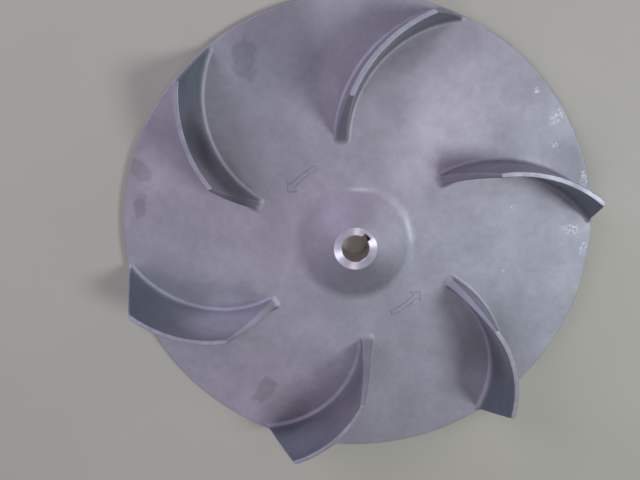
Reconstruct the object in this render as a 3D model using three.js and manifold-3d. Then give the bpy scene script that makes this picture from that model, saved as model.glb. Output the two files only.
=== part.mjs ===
// Open pump impeller: one aluminium casting with a flat back plate, a coned hub,
// six backward-curved vanes and two rotation arrows, machined at the hub and vane edges.
// Millimetres, +Z up along the shaft axis, towards the eye (suction side).
// The origin is on the axis at the back face, and +X runs through the middle of the keyway.

import * as THREE from 'three';
import { mergeVertices } from 'three/addons/utils/BufferGeometryUtils.js';
import Module from 'manifold-3d';

const wasm = await Module();
wasm.setup();

// Driving dimensions

// Back plate
const PLATE_RADIUS = 245;
const PLATE_THICKNESS = 8;
const RIM_CHAMFER = 0.8;
const PLATE_SEGMENTS = 120;

// Pad on the back, faced flat: the part rests on it
const PAD_RADIUS = 60;
const PAD_HEIGHT = 2;

// Coned hub on the front, its top faced flat around the bore
const HUB_FOOT_RADIUS = 59.5;
const HUB_HEIGHT = 20;
const HUB_FACE_RADIUS = 22.2;
const HUB_FOOT_FILLET = 24;
const HUB_FOOT_STEPS = 5;

// Shaft bore with one keyway
const BORE_RADIUS = 14;
const BORE_CHAMFER = 0.5;
const BORE_SEGMENTS = 64;
const KEYWAY_WIDTH = 8;
const KEYWAY_REACH = 18.5;

// Vanes: each is a blade on a circular arc, tapered by the casting draft.
// Angles on the arc are counted from the outward line through the arc's centre.
const VANE_COUNT = 6;
const VANE_HEIGHT = 67;
const ARC_CENTRE_RADIUS = 150;
const FIRST_ARC_CENTRE_DEG = -2.4;
const HOLLOW_SIDE_RADIUS = { root: 115, top: 119.6 };
const CROWN_SIDE_RADIUS = { root: 125.4, top: 124.3 };
const INLET_EDGE_DEG = { root: 134.6, top: 113.0 };
const OUTLET_EDGE_DEG = { root: 48.8, top: 65.3 };
const OUTLET_CUT_RADIUS = { root: 244, top: 229.7 };
const VANE_FOOT_FILLET = 3;
const VANE_FOOT_STEPS = 3;
const INLET_EDGE_BEVEL = 1;
const VANE_STEPS = 18;
const UPRIGHT_STEPS = 4;
const VANE_SINK = 4;

// Rotation arrows: block arrows drawn as an outline groove, curved about the shaft
const ARROW_COUNT = 2;
const ARROW_PITCH_RADIUS = 89.3;
const FIRST_ARROW_DEG = 82.2;
const ARROW_LENGTH = 41.3;
const ARROW_SHAFT_WIDTH = 6.4;
const ARROW_HEAD_WIDTH = 18.4;
const ARROW_HEAD_LENGTH = 9.2;
const GROOVE_WIDTH = 1.7;
const GROOVE_DEPTH = 0.5;
const ARROW_STEPS = 6;

const FACE_Z = PAD_HEIGHT + PLATE_THICKNESS;
const HUB_TOP_Z = FACE_Z + HUB_HEIGHT;
const OVERSHOOT = 5;

const radians = THREE.MathUtils.degToRad;
const lerp = THREE.MathUtils.lerp;

// A closed mesh as a solid that can be joined and cut
function toSolid(geometry) {
  const bare = geometry.index ? geometry.toNonIndexed() : geometry.clone();
  bare.deleteAttribute('normal');
  bare.deleteAttribute('uv');
  const merged = mergeVertices(bare, 1e-4);
  const mesh = new wasm.Mesh({
    numProp: 3,
    vertProperties: new Float32Array(merged.attributes.position.array),
    triVerts: new Uint32Array(merged.index.array),
  });
  return new wasm.Manifold(mesh);
}

function toGeometry(solid) {
  const mesh = solid.getMesh();
  const geometry = new THREE.BufferGeometry();
  geometry.setAttribute('position', new THREE.BufferAttribute(mesh.vertProperties, 3));
  geometry.setIndex(new THREE.BufferAttribute(mesh.triVerts, 1));
  geometry.computeVertexNormals();
  return geometry;
}

// A solid of revolution about Z from an outline of [radius, height] points
function turned(outline, segments) {
  const points = outline.map(([radius, height]) => new THREE.Vector2(radius, height));
  const geometry = new THREE.LatheGeometry(points, segments);
  geometry.rotateX(Math.PI / 2);
  return toSolid(geometry);
}

// Points on an arc in the outline plane, from one angle to another
function arcPoints(centre, radius, fromAngle, toAngle, steps) {
  return Array.from({ length: steps + 1 }, (_, i) => {
    const angle = lerp(fromAngle, toAngle, i / steps);
    return [centre[0] + radius * Math.cos(angle), centre[1] + radius * Math.sin(angle)];
  });
}

// Hub outline above the plate: a wide concave foot fillet, then a straight cone to the faced ring
function hubOutline() {
  const slope = Math.atan2(HUB_HEIGHT, HUB_FOOT_RADIUS - HUB_FACE_RADIUS);
  const reach = HUB_FOOT_FILLET * Math.tan(slope / 2);
  const centre = [HUB_FOOT_RADIUS + reach, FACE_Z + HUB_FOOT_FILLET];
  const start = -Math.PI / 2;
  const foot = arcPoints(centre, HUB_FOOT_FILLET, start, start - slope, HUB_FOOT_STEPS);
  return [...foot, [HUB_FACE_RADIUS, HUB_TOP_Z]];
}

// Back pad, plate and hub in one outline
function plateAndHub() {
  return turned([
    [0, 0],
    [PAD_RADIUS, 0],
    [PAD_RADIUS + PAD_HEIGHT, PAD_HEIGHT],
    [PLATE_RADIUS - RIM_CHAMFER, PAD_HEIGHT],
    [PLATE_RADIUS, PAD_HEIGHT + RIM_CHAMFER],
    [PLATE_RADIUS, FACE_Z - RIM_CHAMFER],
    [PLATE_RADIUS - RIM_CHAMFER, FACE_Z],
    ...hubOutline(),
    [0, HUB_TOP_Z],
  ], PLATE_SEGMENTS);
}

// Shaft hole with a chamfer at both ends, and the keyway on +X
function boreAndKeyway() {
  const bore = turned([
    [0, -OVERSHOOT],
    [BORE_RADIUS + BORE_CHAMFER + OVERSHOOT, -OVERSHOOT],
    [BORE_RADIUS, BORE_CHAMFER],
    [BORE_RADIUS, HUB_TOP_Z - BORE_CHAMFER],
    [BORE_RADIUS + BORE_CHAMFER + OVERSHOOT, HUB_TOP_Z + OVERSHOOT],
    [0, HUB_TOP_Z + OVERSHOOT],
  ], BORE_SEGMENTS);
  const length = HUB_TOP_Z + 2 * OVERSHOOT;
  const slot = new THREE.BoxGeometry(KEYWAY_REACH, KEYWAY_WIDTH, length);
  slot.translate(KEYWAY_REACH / 2, 0, HUB_TOP_Z / 2);
  return bore.add(toSolid(slot));
}

// Closed outline of the blade at one height above the plate, widened at the foot by the fillet
function bladeRing(height, spread) {
  const share = height / VANE_HEIGHT;
  const hollow = lerp(HOLLOW_SIDE_RADIUS.root, HOLLOW_SIDE_RADIUS.top, share) - spread;
  const crown = lerp(CROWN_SIDE_RADIUS.root, CROWN_SIDE_RADIUS.top, share) + spread;
  const middle = (hollow + crown) / 2;
  const nose = radians(lerp(INLET_EDGE_DEG.root, INLET_EDGE_DEG.top, share)) + spread / middle;
  const shoulder = nose - INLET_EDGE_BEVEL / middle;
  const tail = radians(lerp(OUTLET_EDGE_DEG.root, OUTLET_EDGE_DEG.top, share)) - spread / middle;
  const ring = [];
  const put = (radius, angle) => {
    const x = ARC_CENTRE_RADIUS + radius * Math.cos(angle);
    ring.push([x, radius * Math.sin(angle), FACE_Z + height]);
  };
  for (let i = 0; i <= VANE_STEPS; i += 1) put(crown, lerp(tail, shoulder, i / VANE_STEPS));
  put(crown - INLET_EDGE_BEVEL, nose);
  put(hollow + INLET_EDGE_BEVEL, nose);
  for (let i = 0; i <= VANE_STEPS; i += 1) put(hollow, lerp(shoulder, tail, i / VANE_STEPS));
  return ring;
}

// Blade blank: rings stacked from inside the plate to just above the finished height
function bladeBlank() {
  const rings = [bladeRing(0, VANE_FOOT_FILLET).map(([x, y, z]) => [x, y, z - VANE_SINK])];
  for (let i = 0; i <= VANE_FOOT_STEPS; i += 1) {
    const turn = (i / VANE_FOOT_STEPS) * (Math.PI / 2);
    const height = VANE_FOOT_FILLET * (1 - Math.cos(turn));
    rings.push(bladeRing(height, VANE_FOOT_FILLET * (1 - Math.sin(turn))));
  }
  for (let i = 1; i <= UPRIGHT_STEPS; i += 1) {
    rings.push(bladeRing(lerp(VANE_FOOT_FILLET, VANE_HEIGHT + OVERSHOOT, i / UPRIGHT_STEPS), 0));
  }

  const count = rings[0].length;
  const faces = [];
  const wall = (row, a, b) => {
    const low = row * count;
    const high = low + count;
    faces.push(low + a, low + b, high + b, low + a, high + b, high + a);
  };
  for (let row = 0; row < rings.length - 1; row += 1) {
    for (let i = 0; i < count; i += 1) wall(row, i, (i + 1) % count);
  }
  const top = (rings.length - 1) * count;
  for (let i = 0; i < count / 2 - 1; i += 1) {
    const a = i;
    const b = i + 1;
    const c = count - 2 - i;
    const d = count - 1 - i;
    faces.push(a, c, b, a, d, c);
    faces.push(top + a, top + b, top + c, top + a, top + c, top + d);
  }
  const geometry = new THREE.BufferGeometry();
  geometry.setAttribute('position', new THREE.Float32BufferAttribute(rings.flat(2), 3));
  geometry.setIndex(faces);
  return geometry;
}

// Six blades on the circle, turned to the finished height and outlet cone
function vanes() {
  const blanks = Array.from({ length: VANE_COUNT }, (_, i) => {
    const blade = bladeBlank();
    blade.rotateZ(radians(FIRST_ARC_CENTRE_DEG) + (i * 2 * Math.PI) / VANE_COUNT);
    return toSolid(blade);
  });
  const finished = turned([
    [0, FACE_Z - VANE_SINK],
    [OUTLET_CUT_RADIUS.root, FACE_Z - VANE_SINK],
    [OUTLET_CUT_RADIUS.root, FACE_Z],
    [OUTLET_CUT_RADIUS.top, FACE_Z + VANE_HEIGHT],
    [0, FACE_Z + VANE_HEIGHT],
  ], PLATE_SEGMENTS);
  return blanks.reduce((all, blade) => all.add(blade)).intersect(finished);
}

// Block arrow along its pitch circle, pointing counter-clockwise, drawn inwards by an inset
function arrowShape(inset) {
  const middle = ARROW_PITCH_RADIUS;
  const halfShaft = ARROW_SHAFT_WIDTH / 2 - inset;
  const halfTurn = ARROW_LENGTH / 2 / middle;
  const slant = Math.hypot(ARROW_HEAD_LENGTH, ARROW_HEAD_WIDTH / 2);
  const tipInset = (inset * slant) / (ARROW_HEAD_WIDTH / 2);
  const barbInset = (inset * (slant + ARROW_HEAD_WIDTH / 2)) / ARROW_HEAD_LENGTH;
  const tail = -halfTurn + inset / middle;
  const neck = halfTurn - (ARROW_HEAD_LENGTH - inset) / middle;
  const tip = halfTurn - tipInset / middle;
  const halfHead = ARROW_HEAD_WIDTH / 2 - barbInset;
  const at = (radius, angle) => [radius * Math.cos(angle), radius * Math.sin(angle)];
  const shape = new THREE.Shape();
  shape.moveTo(...at(middle - halfShaft, tail));
  shape.lineTo(...at(middle + halfShaft, tail));
  shape.absarc(0, 0, middle + halfShaft, tail, neck, false);
  shape.lineTo(...at(middle + halfHead, neck));
  shape.lineTo(...at(middle, tip));
  shape.lineTo(...at(middle - halfHead, neck));
  shape.lineTo(...at(middle - halfShaft, neck));
  shape.absarc(0, 0, middle - halfShaft, neck, tail, true);
  return shape;
}

function arrowGrooves() {
  const depth = GROOVE_DEPTH + OVERSHOOT;
  const prism = (inset) => {
    const options = { depth, bevelEnabled: false, curveSegments: ARROW_STEPS };
    const geometry = new THREE.ExtrudeGeometry(arrowShape(inset), options);
    geometry.translate(0, 0, FACE_Z - GROOVE_DEPTH);
    return geometry;
  };
  const grooves = Array.from({ length: ARROW_COUNT }, (_, i) => {
    const turn = radians(FIRST_ARROW_DEG) + (i * 2 * Math.PI) / ARROW_COUNT;
    const outer = toSolid(prism(0).rotateZ(turn));
    return outer.subtract(toSolid(prism(GROOVE_WIDTH).rotateZ(turn)));
  });
  return grooves.reduce((all, groove) => all.add(groove));
}

const casting = plateAndHub().add(vanes()).subtract(boreAndKeyway()).subtract(arrowGrooves());

const castAluminium = new THREE.MeshStandardMaterial({
  color: 0x9c9aa6,
  roughness: 0.6,
  metalness: 0.85,
});

const impeller = new THREE.Group();
const impellerCasting = new THREE.Mesh(toGeometry(casting), castAluminium);
impellerCasting.name = 'impeller_casting';
impeller.add(impellerCasting);

export default impeller;
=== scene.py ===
# Open pump impeller: one aluminium casting, blasted matt all over and then machined. It is
# bright on the hub's faced ring, in the shaft hole and on the back pad, and duller on the rim
# and on the vanes' tops and outer ends. The keyway is painted dark, as painted shade in its slot.
# Metres, in the CAD's frame: the origin is on the shaft axis at the back face,
# +Z points towards the suction side and +X through the middle of the keyway.

import math

import bmesh
import bpy
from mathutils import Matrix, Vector


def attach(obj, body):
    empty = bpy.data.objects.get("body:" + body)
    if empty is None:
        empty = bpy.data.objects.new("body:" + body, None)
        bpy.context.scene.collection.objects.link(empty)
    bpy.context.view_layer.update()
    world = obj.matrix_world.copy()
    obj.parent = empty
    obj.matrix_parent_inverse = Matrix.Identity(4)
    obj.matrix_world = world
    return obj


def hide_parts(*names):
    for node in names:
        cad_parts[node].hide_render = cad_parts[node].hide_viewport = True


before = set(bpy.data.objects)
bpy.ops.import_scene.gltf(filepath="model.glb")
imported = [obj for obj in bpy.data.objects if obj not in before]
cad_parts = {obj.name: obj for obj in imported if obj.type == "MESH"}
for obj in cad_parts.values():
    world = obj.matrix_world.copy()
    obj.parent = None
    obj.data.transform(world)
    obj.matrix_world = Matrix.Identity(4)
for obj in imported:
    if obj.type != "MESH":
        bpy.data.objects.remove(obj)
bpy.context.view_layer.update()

MM = 0.001

# Sizes in millimetres. The main ones are the CAD's, and edges and fillets are finer here.

PLATE_RADIUS = 245.0
PLATE_BACK = 2.0
PLATE_FACE = 10.0
RIM_ROUND = 0.8
RIM_STEPS = 4
SPIN_STEPS = 240

PAD_RADIUS = 60.0
PAD_FOOT_RADIUS = 62.0

HUB_FOOT_RADIUS = 59.5
HUB_HEIGHT = 20.0
HUB_TOP = PLATE_FACE + HUB_HEIGHT
HUB_FACE_RADIUS = 22.2
HUB_FOOT_FILLET = 24.0
HUB_FILLET_STEPS = 10

BORE_RADIUS = 14.0
BORE_CHAMFER = 0.5
KEYWAY_WIDTH = 8.0
KEYWAY_REACH = 18.5

VANE_COUNT = 6
VANE_HEIGHT = 67.0
VANE_TOP = PLATE_FACE + VANE_HEIGHT
ARC_CENTRE_RADIUS = 150.0
FIRST_ARC_CENTRE_DEG = -2.4
BEND_RADIUS = 120.0
HOLLOW_ROOT_RADIUS = 115.0
HOLLOW_TOP_RADIUS = 119.6
CROWN_ROOT_RADIUS = 125.4
CROWN_TOP_RADIUS = 124.3
INLET_ROOT_DEG = 134.6
INLET_TOP_DEG = 113.0
INLET_EDGE_ROUND = 1.6
OUTLET_EDGE_ROOT_DEG = 48.8
OUTLET_EDGE_TOP_DEG = 65.3
OUTLET_EDGE_ROUND = 0.5
OUTLET_ROOT_RADIUS = 244.0
OUTLET_TOP_RADIUS = 229.7
OUTLET_SLOPE = (OUTLET_ROOT_RADIUS - OUTLET_TOP_RADIUS) / VANE_HEIGHT
VANE_CORNER_STEPS = 4
VANE_FOOT_FILLET = 4.5
VANE_FILLET_STEPS = 6
VANE_CUTS = 47
VANE_UPRIGHT_CUTS = 7
VANE_SINK = 3.0
# The blade stands this much low, so that its fillet runs into the plate and leaves no step
FOOT_DIP = 0.02

MACHINED_EDGE_BREAK = 0.7
EDGE_BREAK_STEPS = 3
# An edge is broken where its two faces turn by more than this
EDGE_FROM_DEG = 25.0
# A point this near to the outlet cone counts as on it, and points that lie close together
# up to the second distance inside it are merged
OUTLET_REACH = 0.3
OUTLET_CORNER = 3.2

ARROW_COUNT = 2
ARROW_PITCH_RADIUS = 89.3
FIRST_ARROW_DEG = 82.2
ARROW_LENGTH = 41.3
ARROW_SHAFT_WIDTH = 6.4
ARROW_SHAFT_STEPS = 8
ARROW_HEAD_WIDTH = 18.4
ARROW_HEAD_LENGTH = 9.2
GROOVE_WIDTH = 1.7
GROOVE_DEPTH = 0.5
# Steps inwards and down, which taper the groove's walls
GROOVE_WALL = ((0.35, 0.25), (0.3, GROOVE_DEPTH - 0.25))

# How far a cutter reaches past the part, how high the arrows' cutter starts above the plate,
# how near counts as the same place, and the step that points are rounded to
CUT_CLEARANCE = 5.0
CUTTER_LIFT = 0.5
NEAR = 0.01
FINEST_STEP = 0.0005
# A slanted direction, in which hardly any two points of a piece are level
SORTING_DIRECTION = Vector((0.531, 0.347, 0.773))

# Which way a face looks, from its normal's upright or outward part
UPRIGHT_BELOW = 0.5
FACES_DOWN = -0.9
FACES_OUT = 0.93
SLOPES_UP = 0.3

# The skimmed end starts this far above the plate, and its broken edge lies this far inside
SKIM_START = 0.05
BROKEN_EDGE_REACH = 2.8

SMOOTH_ANGLE_DEG = 35.0
NORMAL_WEIGHT = 100

# Camera, fitted to the rim and the vanes' corners in the photograph

LENS_MM = 31.11
SENSOR_MM = 36.0
CAMERA_CLIP_START = 0.01
CAMERA_PLACE = (0.10159, 0.12538, 0.57210)
CAMERA_TURN_DEG = (-15.502, 1.248, -47.761)


def add_camera():
    bpy.ops.object.camera_add(location=CAMERA_PLACE)
    camera = bpy.context.object
    camera.name = "camera"
    camera.rotation_euler = [math.radians(turn) for turn in CAMERA_TURN_DEG]
    camera.data.lens = LENS_MM
    camera.data.sensor_width = SENSOR_MM
    camera.data.clip_start = CAMERA_CLIP_START
    bpy.context.scene.camera = camera


# Modelling helpers

X_AXIS, Z_AXIS = 0, 2


def select_only(piece):
    bpy.ops.object.select_all(action="DESELECT")
    piece.select_set(True)
    bpy.context.view_layer.objects.active = piece


def open_piece(piece):
    """Takes one piece into edit mode, with everything else deselected"""
    select_only(piece)
    bpy.ops.object.mode_set(mode="EDIT")


def close_piece():
    bpy.ops.object.mode_set(mode="OBJECT")


def pick(kind, test):
    """Selects the vertices, edges or faces of the open piece that pass the test"""
    bpy.ops.mesh.select_mode(type=kind)
    bpy.ops.mesh.select_all(action="DESELECT")
    mesh = bmesh.from_edit_mesh(bpy.context.object.data)
    parts = {"VERT": mesh.verts, "EDGE": mesh.edges, "FACE": mesh.faces}[kind]
    for part in [part for part in parts if test(part)]:
        part.select_set(True)
    mesh.select_flush_mode()
    bmesh.update_edit_mesh(bpy.context.object.data)


def spread_of(edge, axis):
    """How far an edge reaches along one axis"""
    first, second = (vertex.co[axis] for vertex in edge.verts)
    return abs(first - second)


def apply_modifier(piece, kind, **settings):
    select_only(piece)
    modifier = piece.modifiers.new(kind.lower(), kind)
    for name, value in settings.items():
        setattr(modifier, name, value)
    bpy.ops.object.modifier_apply(modifier=modifier.name)


def settle(piece):
    """Puts points and faces in one fixed order, so that each run gives the same shape.
    Cuts and subdivisions may return them in any order, with a stray last digit."""
    step = FINEST_STEP * MM
    mesh = piece.data
    along = [vertex.co.dot(SORTING_DIRECTION) for vertex in mesh.vertices]
    order = sorted(range(len(along)), key=along.__getitem__)
    place_of = {old: new for new, old in enumerate(order)}
    points = [
        [round(part / step) * step for part in mesh.vertices[old].co] for old in order
    ]
    faces = []
    for face in mesh.polygons:
        corners = [place_of[old] for old in face.vertices]
        first = corners.index(min(corners))
        faces.append(corners[first:] + corners[:first])
    mesh.clear_geometry()
    mesh.from_pydata(points, [], sorted(faces))


def settle_open_piece(piece):
    close_piece()
    settle(piece)
    open_piece(piece)


def cut_with(piece, cutter, operation):
    """Joins, cuts or trims a piece with another one, which is used up"""
    apply_modifier(piece, "BOOLEAN", operation=operation, solver="EXACT", object=cutter)
    bpy.data.objects.remove(cutter)
    settle(piece)


def draw_outline(name, points):
    """Draws a closed line from point to point by extruding a vertex, in millimetres"""
    corners = [Vector(point) * MM for point in points]
    bpy.ops.mesh.primitive_plane_add(size=MM, location=corners[0])
    outline = bpy.context.object
    outline.name = name
    bpy.ops.object.transform_apply(location=True, rotation=True, scale=True)
    open_piece(outline)
    bpy.ops.mesh.select_mode(type="VERT")
    bpy.ops.mesh.select_all(action="SELECT")
    bpy.ops.mesh.merge(type="CENTER")
    for last, corner in zip(corners, corners[1:]):
        step = {"value": corner - last}
        bpy.ops.mesh.extrude_vertices_move(TRANSFORM_OT_translate=step)
    ends = (corners[0], corners[-1])
    pick("VERT", lambda v: any((v.co - end).length < NEAR * MM for end in ends))
    bpy.ops.mesh.edge_face_add()
    return outline


def arc_points(centre, radius, start, end, steps):
    """Points on an arc in the XZ plane, from one angle to another"""
    angles = [start + (end - start) * step / steps for step in range(steps + 1)]
    return [
        (centre[0] + radius * math.cos(angle), 0.0, centre[1] + radius * math.sin(angle))
        for angle in angles
    ]


def tidy_normals():
    bpy.ops.mesh.select_all(action="SELECT")
    bpy.ops.mesh.remove_doubles(threshold=NEAR * MM)
    bpy.ops.mesh.normals_make_consistent(inside=False)


# Back plate, pad and hub, spun in one around the shaft axis


def hub_outline():
    """A wide hollow foot, then a straight cone up to the faced ring"""
    slope = math.atan2(HUB_HEIGHT, HUB_FOOT_RADIUS - HUB_FACE_RADIUS)
    centre = (
        HUB_FOOT_RADIUS + HUB_FOOT_FILLET * math.tan(slope / 2),
        PLATE_FACE + HUB_FOOT_FILLET,
    )
    start = -math.pi / 2
    foot = arc_points(centre, HUB_FOOT_FILLET, start, start - slope, HUB_FILLET_STEPS)
    return foot + [(HUB_FACE_RADIUS, 0, HUB_TOP)]


def on_rim_corner(edge):
    radii = [math.hypot(vertex.co.x, vertex.co.y) / MM for vertex in edge.verts]
    return min(radii) > PLATE_RADIUS - NEAR and spread_of(edge, Z_AXIS) < NEAR * MM


def model_plate_and_hub():
    plate = draw_outline("impeller", [
        (BORE_RADIUS + BORE_CHAMFER, 0, 0),
        (PAD_RADIUS, 0, 0),
        (PAD_FOOT_RADIUS, 0, PLATE_BACK),
        (PLATE_RADIUS, 0, PLATE_BACK),
        (PLATE_RADIUS, 0, PLATE_FACE),
        *hub_outline(),
        (BORE_RADIUS + BORE_CHAMFER, 0, HUB_TOP),
        (BORE_RADIUS, 0, HUB_TOP - BORE_CHAMFER),
        (BORE_RADIUS, 0, BORE_CHAMFER),
    ])
    bpy.ops.mesh.select_all(action="SELECT")
    bpy.ops.mesh.spin(
        steps=SPIN_STEPS, angle=math.tau, center=(0, 0, 0), axis=(0, 0, 1)
    )
    tidy_normals()
    pick("EDGE", on_rim_corner)
    bpy.ops.mesh.bevel(offset=RIM_ROUND * MM, segments=RIM_STEPS, affect="EDGES")
    close_piece()
    settle(plate)
    return plate


# Vanes: modelled straight, bent to their arc, trimmed and copied


def arc_length(degrees):
    """Length along the vane for an angle about its arc centre"""
    return math.radians(degrees) * BEND_RADIUS


def draw_foot(blade, middle):
    """Rounds the four corners of the plane that the blade is raised from"""
    ends = (
        (lambda v: v.co.x > middle.x * MM, INLET_EDGE_ROUND),
        (lambda v: v.co.x < middle.x * MM, OUTLET_EDGE_ROUND),
    )
    open_piece(blade)
    for end, edge_round in ends:
        pick("VERT", end)
        bpy.ops.mesh.bevel(
            offset=(VANE_FOOT_FILLET + edge_round) * MM,
            segments=VANE_CORNER_STEPS,
            affect="VERTICES",
        )


def raise_blade():
    """Raises the foot fillet and the blade from the plane, and gives each level's height"""
    bpy.ops.mesh.select_mode(type="FACE")
    bpy.ops.mesh.select_all(action="SELECT")
    heights = [0.0]
    spread = VANE_FOOT_FILLET
    for step in range(1, VANE_FILLET_STEPS + 1):
        turn = math.pi / 2 * step / VANE_FILLET_STEPS
        height = VANE_FOOT_FILLET * (1 - math.cos(turn))
        next_spread = VANE_FOOT_FILLET * (1 - math.sin(turn))
        rise = height - heights[-1]
        bpy.ops.mesh.inset(thickness=(spread - next_spread) * MM, depth=rise * MM)
        heights.append(height)
        spread = next_spread
    lift = {"value": (0, 0, (VANE_HEIGHT - VANE_FOOT_FILLET) * MM)}
    bpy.ops.mesh.extrude_region_move(TRANSFORM_OT_translate=lift)
    return heights[1:] + [VANE_HEIGHT]


def model_straight_blade():
    """A straight blade: X runs along it, +Y is its hollow side, Z = 0 is the plate's face"""
    tail = arc_length(OUTLET_EDGE_ROOT_DEG)
    nose = arc_length(INLET_ROOT_DEG)
    hollow = BEND_RADIUS - HOLLOW_ROOT_RADIUS
    crown = BEND_RADIUS - CROWN_ROOT_RADIUS
    middle = Vector(((tail + nose) / 2, (hollow + crown) / 2, 0))
    length = nose - tail + 2 * VANE_FOOT_FILLET
    width = hollow - crown + 2 * VANE_FOOT_FILLET

    bpy.ops.mesh.primitive_plane_add(size=MM, location=middle * MM)
    blade = bpy.context.object
    blade.name = "blade"
    blade.scale = (length, width, 1)
    bpy.ops.object.transform_apply(location=True, rotation=True, scale=True)
    draw_foot(blade, middle)
    heights = raise_blade()

    # How far each side moves between the foot and the top
    draft = (
        (lambda v: v.co.y < 0, (0, CROWN_ROOT_RADIUS - CROWN_TOP_RADIUS, 0)),
        (lambda v: v.co.y > 0, (0, HOLLOW_ROOT_RADIUS - HOLLOW_TOP_RADIUS, 0)),
        (lambda v: v.co.x > middle.x * MM, (arc_length(INLET_TOP_DEG) - nose, 0, 0)),
        (lambda v: v.co.x < middle.x * MM, (arc_length(OUTLET_EDGE_TOP_DEG) - tail, 0, 0)),
    )
    for height in heights:
        for side, shift in draft:
            pick("VERT", lambda v: abs(v.co.z / MM - height) < NEAR and side(v))
            bpy.ops.transform.translate(value=Vector(shift) * MM * height / VANE_HEIGHT)

    pick("EDGE", lambda e: e.is_boundary)
    sink = {"value": (0, 0, -VANE_SINK * MM)}
    bpy.ops.mesh.extrude_region_move(TRANSFORM_OT_translate=sink)
    bpy.ops.mesh.edge_face_add()
    settle_open_piece(blade)
    pick("EDGE", lambda e: spread_of(e, Z_AXIS) > VANE_HEIGHT / 2 * MM)
    bpy.ops.mesh.subdivide(number_cuts=VANE_UPRIGHT_CUTS)
    settle_open_piece(blade)
    pick("EDGE", lambda e: spread_of(e, X_AXIS) > (nose - tail) / 2 * MM)
    bpy.ops.mesh.subdivide(number_cuts=VANE_CUTS)
    tidy_normals()
    close_piece()
    settle(blade)
    return blade


def bend_blade(blade):
    """Bends the blade about an arc centre on +X of the shaft axis"""
    along = [vertex.co.x for vertex in blade.data.vertices]
    apply_modifier(
        blade,
        "SIMPLE_DEFORM",
        deform_method="BEND",
        deform_axis="Z",
        angle=(max(along) - min(along)) / (BEND_RADIUS * MM),
    )
    blade.rotation_euler = (0, 0, math.pi / 2)
    blade.location = (
        (BEND_RADIUS + ARC_CENTRE_RADIUS) * MM, 0, (PLATE_FACE - FOOT_DIP) * MM
    )
    bpy.ops.object.transform_apply(location=True, rotation=True, scale=True)


def outlet_radius(height):
    """Radius of the cone that the vanes' outer ends are turned to, at a height"""
    return OUTLET_ROOT_RADIUS - OUTLET_SLOPE * (height - PLATE_FACE)


def inside_outlet(vertex):
    """How far inside the outlet cone a vertex lies, in millimetres"""
    return outlet_radius(vertex.co.z / MM) - math.hypot(vertex.co.x, vertex.co.y) / MM


def above_foot(vertex):
    return vertex.co.z / MM > PLATE_FACE + VANE_FOOT_FILLET


def at_outlet(vertex):
    return abs(inside_outlet(vertex)) < OUTLET_REACH


def by_outlet(vertex):
    return OUTLET_REACH < inside_outlet(vertex) < OUTLET_CORNER and above_foot(vertex)


def on_outlet(part):
    """Whether an edge or a face lies in the turned outer end"""
    return all(at_outlet(vertex) for vertex in part.verts)


def is_machined_edge(edge):
    """Whether an edge lies around the flat top, or around the outer end above its fillet"""
    if len(edge.link_faces) != 2 or edge.calc_face_angle() < math.radians(EDGE_FROM_DEG):
        return False
    lowest = min(edge.verts, key=lambda vertex: vertex.co.z)
    if lowest.co.z / MM > VANE_TOP - FOOT_DIP - NEAR:
        return True
    return above_foot(lowest) and any(on_outlet(face) for face in edge.link_faces)


def trim_blade(blade):
    """Turns the outer end to its cone and the top to its height"""
    low = PLATE_FACE - CUT_CLEARANCE
    bpy.ops.mesh.primitive_cone_add(
        vertices=SPIN_STEPS,
        radius1=outlet_radius(low) * MM,
        radius2=OUTLET_TOP_RADIUS * MM,
        depth=(VANE_TOP - low) * MM,
        location=(0, 0, (VANE_TOP + low) / 2 * MM),
    )
    cone = bpy.context.object
    bpy.ops.object.transform_apply(location=True, rotation=True, scale=True)
    cut_with(blade, cone, "INTERSECT")


def break_edges(blade):
    """Merges the slivers that trimming left by the outer end, then breaks the cut edges"""
    open_piece(blade)
    tidy_normals()
    pick("FACE", on_outlet)
    bpy.ops.mesh.dissolve_faces()
    pick("VERT", lambda v: at_outlet(v) and len(v.link_edges) == 2)
    bpy.ops.mesh.dissolve_verts()
    pick("VERT", lambda v: at_outlet(v) and above_foot(v))
    bpy.ops.mesh.remove_doubles(threshold=2 * MACHINED_EDGE_BREAK * MM)
    pick("VERT", by_outlet)
    bpy.ops.mesh.remove_doubles(threshold=MACHINED_EDGE_BREAK * MM)
    pick("EDGE", is_machined_edge)
    bpy.ops.mesh.bevel(
        offset=MACHINED_EDGE_BREAK * MM, segments=EDGE_BREAK_STEPS, affect="EDGES"
    )
    close_piece()
    settle(blade)


def model_vanes():
    blade = model_straight_blade()
    bend_blade(blade)
    trim_blade(blade)
    break_edges(blade)
    blades = []
    for number in range(VANE_COUNT):
        copy = blade.copy()
        copy.data = blade.data.copy()
        bpy.context.scene.collection.objects.link(copy)
        turn = math.tau * number / VANE_COUNT
        copy.rotation_euler.z = math.radians(FIRST_ARC_CENTRE_DEG) + turn
        blades.append(copy)
    bpy.data.objects.remove(blade)
    select_only(blades[0])
    for copy in blades:
        copy.select_set(True)
    bpy.ops.object.transform_apply(location=True, rotation=True, scale=True)
    bpy.ops.object.join()
    return bpy.context.object


# Keyway and rotation arrows, cut into the casting


def cut_keyway(impeller):
    inner = BORE_RADIUS / 2
    bpy.ops.mesh.primitive_cube_add(
        size=MM, location=((KEYWAY_REACH + inner) / 2 * MM, 0, HUB_TOP / 2 * MM)
    )
    slot = bpy.context.object
    slot.scale = (KEYWAY_REACH - inner, KEYWAY_WIDTH, HUB_TOP + 2 * CUT_CLEARANCE)
    bpy.ops.object.transform_apply(location=True, rotation=True, scale=True)
    cut_with(impeller, slot, "DIFFERENCE")


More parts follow.
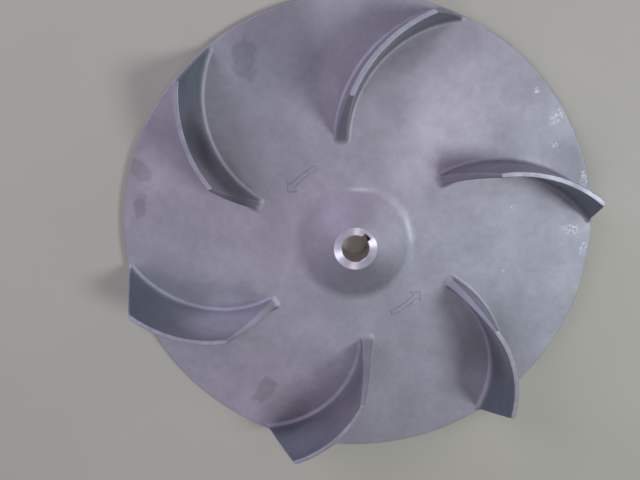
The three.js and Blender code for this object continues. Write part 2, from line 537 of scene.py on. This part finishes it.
def arrow_corners():
    """Block arrow curved about the shaft, as points just above the plate's face"""
    shaft = ARROW_SHAFT_WIDTH / 2
    head = ARROW_HEAD_WIDTH / 2
    tail = -ARROW_LENGTH / 2 / ARROW_PITCH_RADIUS
    neck = (ARROW_LENGTH / 2 - ARROW_HEAD_LENGTH) / ARROW_PITCH_RADIUS
    tip = ARROW_LENGTH / 2 / ARROW_PITCH_RADIUS
    along = [
        tail + (neck - tail) * step / ARROW_SHAFT_STEPS
        for step in range(ARROW_SHAFT_STEPS + 1)
    ]
    places = [(ARROW_PITCH_RADIUS + shaft, angle) for angle in along]
    places += [
        (ARROW_PITCH_RADIUS + head, neck),
        (ARROW_PITCH_RADIUS, tip),
        (ARROW_PITCH_RADIUS - head, neck),
    ]
    places += [(ARROW_PITCH_RADIUS - shaft, angle) for angle in reversed(along)]
    height = PLATE_FACE + CUTTER_LIFT
    return [(r * math.cos(angle), r * math.sin(angle), height) for r, angle in places]


def cut_arrows(impeller):
    """Sinks each arrow's outline as a shallow groove with a narrower floor"""
    for number in range(ARROW_COUNT):
        arrow = draw_outline("arrow_cutter", arrow_corners())
        bpy.ops.mesh.select_all(action="SELECT")
        bpy.ops.mesh.edge_face_add()
        bpy.ops.mesh.normals_make_consistent(inside=False)
        bpy.ops.mesh.select_mode(type="FACE")
        bpy.ops.mesh.select_all(action="SELECT")
        bpy.ops.mesh.inset(thickness=GROOVE_WIDTH * MM)
        bpy.ops.mesh.delete(type="FACE")
        bpy.ops.mesh.select_all(action="SELECT")
        drop = {"value": (0, 0, -CUTTER_LIFT * MM)}
        bpy.ops.mesh.extrude_region_move(TRANSFORM_OT_translate=drop)
        tidy_normals()
        pick("FACE", lambda f: f.normal.z < FACES_DOWN)
        for inwards, down in GROOVE_WALL:
            bpy.ops.mesh.inset(thickness=inwards * MM, depth=down * MM)
        tidy_normals()
        close_piece()
        turn = math.tau * number / ARROW_COUNT
        arrow.rotation_euler.z = math.radians(FIRST_ARROW_DEG) + turn
        bpy.ops.object.transform_apply(location=True, rotation=True, scale=True)
        cut_with(impeller, arrow, "DIFFERENCE")


def on_ring_edge(edge):
    radii = [math.hypot(vertex.co.x, vertex.co.y) / MM for vertex in edge.verts]
    heights = [vertex.co.z / MM for vertex in edge.verts]
    around = all(abs(radius - HUB_FACE_RADIUS) < NEAR for radius in radii)
    return around and all(abs(height - HUB_TOP) < NEAR for height in heights)


def keep_ring_flat(impeller):
    """Ends the hub's cone crisply at the faced ring, so that the ring shades as a flat face"""
    open_piece(impeller)
    pick("EDGE", on_ring_edge)
    bpy.ops.mesh.mark_sharp()
    close_piece()


def model_impeller():
    impeller = model_plate_and_hub()
    cut_with(impeller, model_vanes(), "UNION")
    cut_keyway(impeller)
    cut_arrows(impeller)
    keep_ring_flat(impeller)
    return impeller


# Materials

SMOOTH_STEP = {"interpolation_type": "SMOOTHSTEP"}
MULTIPLY = {"operation": "MULTIPLY"}
ADD = {"operation": "ADD"}
SUBTRACT = {"operation": "SUBTRACT"}
GREATEST = {"operation": "MAXIMUM"}
MIX_COLOURS = {"data_type": "RGBA", "blend_type": "MIX"}
MULTIPLY_COLOURS = {"data_type": "RGBA", "blend_type": "MULTIPLY"}
# Sockets of a node that mixes two colours
SHARE, FIRST_COLOUR, SECOND_COLOUR, MIXED_COLOUR = 0, 6, 7, 2


def srgb(code):
    """Turns a hex colour as seen on a screen into the linear values that a shader needs"""
    linear = []
    for place in (1, 3, 5):
        part = int(code[place:place + 2], 16) / 255
        linear.append(part / 12.92 if part <= 0.04045 else ((part + 0.055) / 1.055) ** 2.4)
    return (*linear, 1.0)


def add_node(tree, kind, settings=None, links=None):
    """Adds a node; links holds its inputs, each a plain value or another node's output"""
    node = tree.nodes.new(kind)
    for name, value in (settings or {}).items():
        setattr(node, name, value)
    for name, value in (links or {}).items():
        if isinstance(value, bpy.types.NodeSocket):
            tree.links.new(value, node.inputs[name])
        else:
            node.inputs[name].default_value = value
    return node


def start_material(name):
    """An empty material, its nodes, and the place on the piece in metres"""
    material = bpy.data.materials.new(name)
    material.use_nodes = True
    tree = material.node_tree
    tree.nodes.clear()
    place = add_node(tree, "ShaderNodeTexCoord").outputs["Object"]
    return material, tree, place


def finish_material(tree, look):
    """Ends a material with its surface shader, given the values and patterns of its look"""
    surface = add_node(tree, "ShaderNodeBsdfPrincipled", links=look).outputs["BSDF"]
    add_node(tree, "ShaderNodeOutputMaterial", links={"Surface": surface})


def patch(tree, place, centre_mm, half_size_mm, turn_deg):
    """One soft-edged patch, 1 at its centre and 0 outside it"""
    moved = add_node(tree, "ShaderNodeMapping", {"vector_type": "TEXTURE"}, {
        "Vector": place,
        "Location": [part * MM for part in centre_mm],
        "Rotation": (0, 0, math.radians(turn_deg)),
        "Scale": [part * MM for part in half_size_mm],
    }).outputs["Vector"]
    ball = {"gradient_type": "SPHERICAL"}
    return add_node(tree, "ShaderNodeTexGradient", ball, {"Vector": moved}).outputs["Fac"]


def any_patch(tree, place, patches):
    """The strongest of several patches at each point"""
    strongest = 0.0
    for centre_mm, half_size_mm, turn_deg in patches:
        links = {0: strongest, 1: patch(tree, place, centre_mm, half_size_mm, turn_deg)}
        strongest = add_node(tree, "ShaderNodeMath", GREATEST, links).outputs["Value"]
    return strongest


def radius_of(tree, place):
    """Distance from the shaft axis at each point"""
    flat = add_node(tree, "ShaderNodeVectorMath", MULTIPLY, {0: place, 1: (1, 1, 0)})
    links = {0: flat.outputs["Vector"]}
    return add_node(tree, "ShaderNodeVectorMath", {"operation": "LENGTH"}, links).outputs["Value"]


def at(radius, degrees, height=PLATE_FACE):
    """A place in millimetres, from its radius, its angle to the keyway and its height"""
    angle = math.radians(degrees)
    return (radius * math.cos(angle), radius * math.sin(angle), height)


# Patterns in the blasted skin: size in millimetres, detail and roughness. The real grain
# is finer and wouldn't show, so it is drawn 0.9 mm coarse.
SKIN_PATTERNS = {
    "drift": (300.0, 1.0, 0.5),
    "clouds": (48.0, 6.0, 0.6),
    "mottle": (9.0, 5.0, 0.75),
    "grain": (0.9, 2.0, 0.6),
    "stain_edge": (12.0, 3.0, 0.5),
    "flecks": (2.6, 5.0, 0.7),
}
SKIN_RELIEF_MM = 0.25

# Other patterns' sizes in millimetres. The lathe's rings and the broach's marks are finer
# on the real part and are drawn coarse enough to show.
TURNED_RING_MM = 1.2
SMUDGE_MM = 9.0
SMEAR_MM = 14.0
BORED_RING_MM = 0.8
BROACH_MARK_MM = 0.7
BROACH_RELIEF_MM = 0.05
TABLE_CLOUD_MM = 160.0

# The rings in the shaft hole are drawn out around it, and the broach's marks along it
BORED_RING_STRETCH = (0.15, 0.15, 1)
BROACH_MARK_STRETCH = (1, 1, 0.05)

# The vanes' outer walls are painted cooler and darker, as painted shade and reflection, from this
# radius on and above these heights
VANE_SHADE_START = 165.0
VANE_SHADE_FOOT = PLATE_FACE + 2.0
VANE_SHADE_FULL = PLATE_FACE + 10.0

# A patch is at its full strength from this value inwards
PATCH_FULL = 0.7

# Stains left on the casting: centre, half size along and across, and turn
STAINS = (
    (at(215.5, 73.4), (28, 17, 12), 40),
    (at(234.6, 113.1), (19, 13, 12), 70),
    (at(228.2, 122.6), (19, 10, 12), 30),
    (at(200.7, -167.2), (28, 14, 12), 10),
)

# Broad patches on the casting, darker or paler, partly painted shade and light: centre, half
# sizes, turn and tone
# Those on the vanes' walls, lifted above the plate, are painted shade and painted light; the two
# darker ones on the plate at about 27 and -158 degrees are painted shadows cast by vanes; the
# rest are broad darker or paler tone on the plate.
SKIN_TONE_AND_PAINTED_SHADE = (
    (at(222.0, 63.0), (90, 58, 30), 60, 0.74),
    (at(190.0, 97.0, 50.0), (80, 34, 46), -60, 0.57),
    (at(180.0, -87.0, 26.0), (72, 50, 44), -45, 0.74),
    (at(214.0, -158.0), (50, 40, 25), 20, 0.75),
    (at(225.0, -28.0), (50, 30, 20), 62, 0.86),
    (at(170.0, 10.0), (75, 55, 25), 20, 1.22),
    (at(112.0, 11.0), (48, 42, 25), 20, 1.2),
    (at(219.0, 111.0), (40, 28, 20), 20, 1.16),
    (at(154.0, 160.5, 40.0), (62, 30, 42), -48, 1.5),
    (at(152.0, 102.3, 35.0), (78, 22, 36), 78, 0.56),
    (at(215.0, -154.5, 50.0), (45, 20, 38), -25, 1.4),
    (at(148.0, -139.5, 42.0), (40, 22, 34), 21, 0.8),
    (at(200.0, 26.8), (58, 20, 16), -11, 0.78),
)

# Places on the hub's foot that hands have rubbed smoother: centre, half sizes, turn and gloss
RUBS = (
    (at(58.2, 39.0, 13.0), (4, 24, 12), 39, 0.24),
    (at(58.2, -33.0, 13.0), (4, 22, 12), -33, 0.06),
)

# Bright dents and scuffs near the rim, where other parts have knocked against the casting
SCUFFS = (
    (at(236.0, -14.1), (12, 8, 12), -2),
    (at(234.2, -5.9), (5, 4, 12), -42),
    (at(222.3, -20.1), (5, 4, 12), -62),
    (at(240.4, -31.1), (12, 5, 12), 53),
    (at(166.7, -34.2), (5, 4, 12), -12),
    (at(223.0, -43.6), (15, 8, 12), -42),
    (at(239.4, -48.9), (11, 5, 12), 38),
    (at(161.5, -58.0), (5, 3, 12), -32),
)


def skin_tone_and_painted_shade(tree, place, skin):
    """How bright the blasted skin is from place to place, as a share of its own grey, with
    painted shade and light
    """
    ragged = add_node(tree, "ShaderNodeMapRange", SMOOTH_STEP, {
        "Value": skin["stain_edge"], "From Min": 0.3, "From Max": 0.7,
        "To Min": -0.18, "To Max": 0.18,
    }).outputs["Result"]
    links = {0: any_patch(tree, place, STAINS), 1: ragged}
    ragged_stain = add_node(tree, "ShaderNodeMath", ADD, links).outputs["Value"]
    stain = add_node(tree, "ShaderNodeMapRange", SMOOTH_STEP, {
        "Value": ragged_stain, "From Min": 0.08, "From Max": 0.5,
    }).outputs["Result"]

    # Each pattern, the values it runs between and the tones that they become
    layers = [
        (skin["clouds"], 0.28, 0.72, 0.93, 1.07),
        (skin["grain"], 0.25, 0.75, 0.95, 1.05),
        (skin["mottle"], 0.3, 0.7, 0.955, 1.045),
        (stain, 0.0, 1.0, 1.0, 0.8),
    ]
    # These patches add painted shade and painted light on the vanes' walls and painted shadows on
    # the plate, besides broad tone
    for centre_mm, half_size_mm, turn_deg, tone_and_painted_shade in SKIN_TONE_AND_PAINTED_SHADE:
        shade = patch(tree, place, centre_mm, half_size_mm, turn_deg)
        layers.append((shade, 0.0, PATCH_FULL, 1.0, tone_and_painted_shade))
    whole = 1.0
    for pattern, low, high, low_tone, high_tone in layers:
        layer = add_node(tree, "ShaderNodeMapRange", SMOOTH_STEP, {
            "Value": pattern, "From Min": low, "From Max": high,
            "To Min": low_tone, "To Max": high_tone,
        }).outputs["Result"]
        whole = add_node(tree, "ShaderNodeMath", MULTIPLY, {0: whole, 1: layer}).outputs["Value"]
    return whole


def skin_colour(tree, place, skin):
    """Two cool greys that drift across the casting, times the skin's tone with its painted shade
    and light
    """
    drift = add_node(tree, "ShaderNodeMapRange", SMOOTH_STEP, {
        "Value": skin["drift"], "From Min": 0.35, "From Max": 0.65,
    }).outputs["Result"]
    grey = add_node(tree, "ShaderNodeMix", MIX_COLOURS, {
        SHARE: drift, FIRST_COLOUR: srgb("#A7A5AA"), SECOND_COLOUR: srgb("#A5A8AB"),
    }).outputs[MIXED_COLOUR]
    tone_and_painted_shade = skin_tone_and_painted_shade(tree, place, skin)
    links = {0: tone_and_painted_shade, 1: tone_and_painted_shade, 2: tone_and_painted_shade}
    toned_and_shaded = add_node(tree, "ShaderNodeCombineColor", links=links).outputs["Color"]
    return add_node(tree, "ShaderNodeMix", MULTIPLY_COLOURS, {
        SHARE: 1.0, FIRST_COLOUR: grey, SECOND_COLOUR: toned_and_shaded,
    }).outputs[MIXED_COLOUR]


def vane_painted_shade(tree, place):
    """Where the vanes' outer walls are painted darker and cooler, as painted shade and
    reflection, away from the plate: 0 to 1
    """
    height = add_node(tree, "ShaderNodeSeparateXYZ", links={"Vector": place}).outputs["Z"]
    ranges = (
        (radius_of(tree, place), VANE_SHADE_START, OUTLET_TOP_RADIUS),
        (height, VANE_SHADE_FOOT, VANE_SHADE_FULL),
    )
    shaded = 1.0
    for value, start, full in ranges:
        share = add_node(tree, "ShaderNodeMapRange", SMOOTH_STEP, {
            "Value": value, "From Min": start * MM, "From Max": full * MM,
        }).outputs["Result"]
        shaded = add_node(tree, "ShaderNodeMath", MULTIPLY, {0: shaded, 1: share}).outputs["Value"]
    return shaded


def scuffed_share(tree, place, skin):
    """Where the scuffs near the rim show, broken up into flecks: 0 to 1"""
    ranges = (
        (any_patch(tree, place, SCUFFS), 0.05, 0.5),
        (skin["flecks"], 0.46, 0.66),
    )
    scuffed = 1.0
    for value, start, full in ranges:
        share = add_node(tree, "ShaderNodeMapRange", SMOOTH_STEP, {
            "Value": value, "From Min": start, "From Max": full,
        }).outputs["Result"]
        links = {0: scuffed, 1: share}
        scuffed = add_node(tree, "ShaderNodeMath", MULTIPLY, links).outputs["Value"]
    return scuffed


def skin_roughness(tree, place, skin, scuffed):
    """Matt all over, a little less so in the scuffs and where hands have rubbed"""
    rough = add_node(tree, "ShaderNodeMapRange", SMOOTH_STEP, {
        "Value": skin["clouds"], "From Min": 0.3, "From Max": 0.7,
        "To Min": 0.68, "To Max": 0.64,
    }).outputs["Result"]
    glosses = [add_node(tree, "ShaderNodeMath", MULTIPLY, {0: scuffed, 1: 0.06})]
    for centre_mm, half_size_mm, turn_deg, gloss in RUBS:
        glosses.append(add_node(tree, "ShaderNodeMapRange", SMOOTH_STEP, {
            "Value": patch(tree, place, centre_mm, half_size_mm, turn_deg),
            "From Min": 0.0, "From Max": PATCH_FULL, "To Min": 0.0, "To Max": gloss,
        }))
    for gloss in glosses:
        links = {0: rough, 1: gloss.outputs[0]}
        rough = add_node(tree, "ShaderNodeMath", SUBTRACT, links).outputs["Value"]
    return rough


def blasted_cast_aluminium():
    """Sand-cast aluminium silicon alloy, blasted: matt grey with soft clouds and fine grain"""
    material, tree, place = start_material("blasted_cast_aluminium")
    skin = {}
    for name, (size_mm, detail, roughness) in SKIN_PATTERNS.items():
        skin[name] = add_node(tree, "ShaderNodeTexNoise", links={
            "Vector": place, "Scale": 1 / (size_mm * MM),
            "Detail": detail, "Roughness": roughness,
        }).outputs["Fac"]
    # The vanes' outer walls are multiplied by a cool grey: painted shade and painted reflection
    cast = add_node(tree, "ShaderNodeMix", MULTIPLY_COLOURS, {
        SHARE: vane_painted_shade(tree, place),
        FIRST_COLOUR: skin_colour(tree, place, skin),
        SECOND_COLOUR: srgb("#D6E2E5"),
    }).outputs[MIXED_COLOUR]
    scuffed = scuffed_share(tree, place, skin)
    colour = add_node(tree, "ShaderNodeMix", MIX_COLOURS, {
        SHARE: scuffed, FIRST_COLOUR: cast, SECOND_COLOUR: srgb("#CACED3"),
    }).outputs[MIXED_COLOUR]
    links = {0: skin["clouds"], 1: 3.0}
    swell = add_node(tree, "ShaderNodeMath", MULTIPLY, links).outputs["Value"]
    links = {0: skin["grain"], 1: swell}
    relief = add_node(tree, "ShaderNodeMath", ADD, links).outputs["Value"]
    links = {"Height": relief, "Strength": 0.35, "Distance": SKIN_RELIEF_MM * MM}
    finish_material(tree, {
        "Base Color": colour,
        "Roughness": skin_roughness(tree, place, skin, scuffed),
        "Metallic": 1.0,
        "Normal": add_node(tree, "ShaderNodeBump", links=links).outputs["Normal"],
    })
    return material


def turned_aluminium():
    """Aluminium faced on a lathe: bright under a thin dull film, which makes it less metallic,
    with fine rings about the shaft that stretch highlights"""
    material, tree, place = start_material("turned_aluminium")
    smudge = add_node(tree, "ShaderNodeTexNoise", links={
        "Vector": place, "Scale": 1 / (SMUDGE_MM * MM), "Detail": 3.0, "Roughness": 0.6,
    }).outputs["Fac"]
    smudged = add_node(tree, "ShaderNodeMapRange", SMOOTH_STEP, {
        "Value": smudge, "From Min": 0.35, "From Max": 0.65,
    }).outputs["Result"]
    colour = add_node(tree, "ShaderNodeMix", MIX_COLOURS, {
        SHARE: smudged, FIRST_COLOUR: srgb("#D1D1D6"), SECOND_COLOUR: srgb("#C6C6CD"),
    }).outputs[MIXED_COLOUR]
    rings = add_node(tree, "ShaderNodeTexNoise", {"noise_dimensions": "1D"}, {
        "W": radius_of(tree, place), "Scale": 1 / (TURNED_RING_MM * MM), "Detail": 1.0,
    }).outputs["Fac"]
    rough = add_node(tree, "ShaderNodeMapRange", SMOOTH_STEP, {
        "Value": rings, "From Min": 0.3, "From Max": 0.7, "To Min": 0.34, "To Max": 0.37,
    }).outputs["Result"]
    radial = {"direction_type": "RADIAL", "axis": "Z"}
    finish_material(tree, {
        "Base Color": colour,
        "Roughness": rough,
        "Metallic": 0.65,
        "Anisotropic": 0.97,
        "Anisotropic Rotation": 0.25,
        "Tangent": add_node(tree, "ShaderNodeTangent", radial).outputs["Tangent"],
    })
    return material


def skimmed_aluminium():
    """Aluminium skimmed on the vanes' tops, their outer ends and the rim: smeared, a little
    smoother than the casting and about as bright"""
    material, tree, place = start_material("skimmed_aluminium")
    smear = add_node(tree, "ShaderNodeTexNoise", links={
        "Vector": place, "Scale": 1 / (SMEAR_MM * MM), "Detail": 4.0, "Roughness": 0.65,
    }).outputs["Fac"]
    smeared = add_node(tree, "ShaderNodeMapRange", SMOOTH_STEP, {
        "Value": smear, "From Min": 0.3, "From Max": 0.7,
    }).outputs["Result"]
    colour = add_node(tree, "ShaderNodeMix", MIX_COLOURS, {
        SHARE: smeared, FIRST_COLOUR: srgb("#989AA0"), SECOND_COLOUR: srgb("#A9ABB1"),
    }).outputs[MIXED_COLOUR]
    rough = add_node(tree, "ShaderNodeMapRange", SMOOTH_STEP, {
        "Value": smear, "From Min": 0.3, "From Max": 0.7, "To Min": 0.6, "To Max": 0.52,
    }).outputs["Result"]
    finish_material(tree, {"Base Color": colour, "Roughness": rough, "Metallic": 1.0})
    return material


def bored_aluminium():
    """Aluminium bored out for the shaft: warm pale grey and fairly smooth, with faint rings"""
    material, tree, place = start_material("bored_aluminium")
    links = {"Vector": place, "Scale": BORED_RING_STRETCH}
    drawn_out = add_node(tree, "ShaderNodeMapping", links=links).outputs["Vector"]
    rings = add_node(tree, "ShaderNodeTexNoise", links={
        "Vector": drawn_out, "Scale": 1 / (BORED_RING_MM * MM), "Detail": 2.0,
        "Roughness": 0.6,
    }).outputs["Fac"]
    colour = add_node(tree, "ShaderNodeMix", MIX_COLOURS, {
        SHARE: rings, FIRST_COLOUR: srgb("#E0D2D2"), SECOND_COLOUR: srgb("#E8DADA"),
    }).outputs[MIXED_COLOUR]
    rough = add_node(tree, "ShaderNodeMapRange", SMOOTH_STEP, {
        "Value": rings, "From Min": 0.3, "From Max": 0.7, "To Min": 0.28, "To Max": 0.38,
    }).outputs["Result"]
    finish_material(tree, {"Base Color": colour, "Roughness": rough, "Metallic": 1.0})
    return material


def broached_aluminium_painted_dark():
    """Aluminium cut by a broach, painted dark as shade in the keyway's slot, with straight marks
    along the shaft
    """
    material, tree, place = start_material("broached_aluminium_painted_dark")
    links = {"Vector": place, "Scale": BROACH_MARK_STRETCH}
    drawn_out = add_node(tree, "ShaderNodeMapping", links=links).outputs["Vector"]
    marks = add_node(tree, "ShaderNodeTexNoise", links={
        "Vector": drawn_out, "Scale": 1 / (BROACH_MARK_MM * MM), "Detail": 2.0,
        "Roughness": 0.6,
    }).outputs["Fac"]
    colour = add_node(tree, "ShaderNodeMix", MIX_COLOURS, {
        SHARE: marks, FIRST_COLOUR: srgb("#5E5755"), SECOND_COLOUR: srgb("#75706E"),
    }).outputs[MIXED_COLOUR]
    rough = add_node(tree, "ShaderNodeMapRange", SMOOTH_STEP, {
        "Value": marks, "From Min": 0.3, "From Max": 0.7, "To Min": 0.34, "To Max": 0.46,
    }).outputs["Result"]
    links = {"Height": marks, "Strength": 0.3, "Distance": BROACH_RELIEF_MM * MM}
    finish_material(tree, {
        "Base Color": colour,
        "Roughness": rough,
        "Metallic": 1.0,
        "Normal": add_node(tree, "ShaderNodeBump", links=links).outputs["Normal"],
    })
    return material


def pale_laminate():
    """Plain pale laminate on a table top: matt, with a barely visible cloud in its colour"""
    material, tree, place = start_material("pale_laminate")
    cloud = add_node(tree, "ShaderNodeTexNoise", links={
        "Vector": place, "Scale": 1 / (TABLE_CLOUD_MM * MM), "Detail": 2.0,
        "Roughness": 0.5,
    }).outputs["Fac"]
    colour = add_node(tree, "ShaderNodeMix", MIX_COLOURS, {
        SHARE: cloud, FIRST_COLOUR: srgb("#A7A895"), SECOND_COLOUR: srgb("#ADAE9D"),
    }).outputs[MIXED_COLOUR]
    finish_material(tree, {
        "Base Color": colour, "Roughness": 0.55, "Specular IOR Level": 0.3,
    })
    return material


FINISHES = (
    blasted_cast_aluminium,
    turned_aluminium,
    skimmed_aluminium,
    bored_aluminium,
    broached_aluminium_painted_dark,
)
CAST, TURNED, SKIMMED, BORED, BROACHED = range(len(FINISHES))


def finish_of(face):
    """Which finish a face has, by its place and the way it looks"""
    x, y, z = face.center / MM
    radius = math.hypot(x, y)
    upright = abs(face.normal.z) < UPRIGHT_BELOW
    if radius < BORE_RADIUS + NEAR and upright:
        return BORED
    if radius < BORE_RADIUS + BORE_CHAMFER + NEAR:
        return TURNED
    if radius < KEYWAY_REACH + NEAR and x > 0 and upright:
        return BROACHED
    if (radius < HUB_FACE_RADIUS and z > HUB_TOP - NEAR) or z < NEAR:
        return TURNED
    on_rim = radius > PLATE_RADIUS - RIM_ROUND
    if on_rim or z > VANE_TOP - MACHINED_EDGE_BREAK - 2 * FOOT_DIP:
        return SKIMMED
    inside = outlet_radius(z) - radius
    outward = (face.normal.x * x + face.normal.y * y) / radius
    high = z > PLATE_FACE + VANE_FOOT_FILLET
    if inside < OUTLET_REACH:
        square = z > PLATE_FACE + SKIM_START and outward > FACES_OUT
        return SKIMMED if high or square else CAST
    if inside < BROKEN_EDGE_REACH and high and face.normal.z > SLOPES_UP:
        return SKIMMED
    return CAST


def paint_impeller(impeller):
    """Gives each face its finish: cast, turned, skimmed, bored or broached"""
    impeller.data.materials.clear()
    for finish in FINISHES:
        impeller.data.materials.append(finish())
    for face in impeller.data.polygons:
        face.material_index = finish_of(face)


def smooth_impeller(impeller):
    """Shades curved faces as smooth and keeps flat ones flat"""
    select_only(impeller)
    bpy.ops.object.shade_smooth_by_angle(angle=math.radians(SMOOTH_ANGLE_DEG))
    apply_modifier(impeller, "WEIGHTED_NORMAL", keep_sharp=True, weight=NORMAL_WEIGHT)


# Floor and lights, in metres

FLOOR_SIZE = 6.0
LIGHT_DISTANCE = 2.0
SKY_COLOUR = "#BCBEEC"
SKY_STRENGTH = 0.09

# Each light: name, azimuth and height in degrees, size, watts and colour
LIGHTS = (
    ("window", -54, 51, 0.6, 20.0, "#F0F5FF"),
    ("far_window", 30, 61, 0.3, 3.9, "#F8FCFF"),
    ("room_left", 90, 25, 1.3, 19.0, "#E3DBFF"),
    ("room_far", 180, 60, 1.3, 6.4, "#F0E2FF"),
    ("room_right", 0, 25, 1.3, 6.4, "#F4DAFF"),
    ("room_back", 135, 25, 1.3, 4.2, "#FFE6E4"),
    ("room_low", 180, 25, 1.3, 2.2, "#D0E0FF"),
    ("lamp", -134, 60, 0.25, 2.1, "#FFEEE8"),
)


def add_floor():
    bpy.ops.mesh.primitive_plane_add(size=FLOOR_SIZE, location=(0, 0, 0))
    floor = bpy.context.object
    floor.name = "floor"
    floor.data.materials.append(pale_laminate())


def add_lights():
    world = bpy.data.worlds.new("soft_sky")
    bpy.context.scene.world = world
    world.use_nodes = True
    sky = world.node_tree.nodes["Background"]
    sky.inputs["Color"].default_value = srgb(SKY_COLOUR)
    sky.inputs["Strength"].default_value = SKY_STRENGTH
    for name, azimuth_deg, height_deg, size, watts, colour in LIGHTS:
        azimuth = math.radians(azimuth_deg)
        height = math.radians(height_deg)
        out = math.cos(height) * LIGHT_DISTANCE
        place = Vector((
            out * math.cos(azimuth),
            out * math.sin(azimuth),
            math.sin(height) * LIGHT_DISTANCE,
        ))
        bpy.ops.object.light_add(type="AREA", location=place)
        light = bpy.context.object
        light.name = name
        light.data.shape = "DISK"
        light.data.size = size
        light.data.energy = watts
        light.data.color = srgb(colour)[:3]
        light.rotation_euler = (-place).to_track_quat("-Z", "Y").to_euler()


bpy.context.scene.view_settings.view_transform = "Standard"
add_camera()
add_floor()
add_lights()

impeller = model_impeller()
paint_impeller(impeller)
smooth_impeller(impeller)

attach(impeller, "root")
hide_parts("impeller_casting")
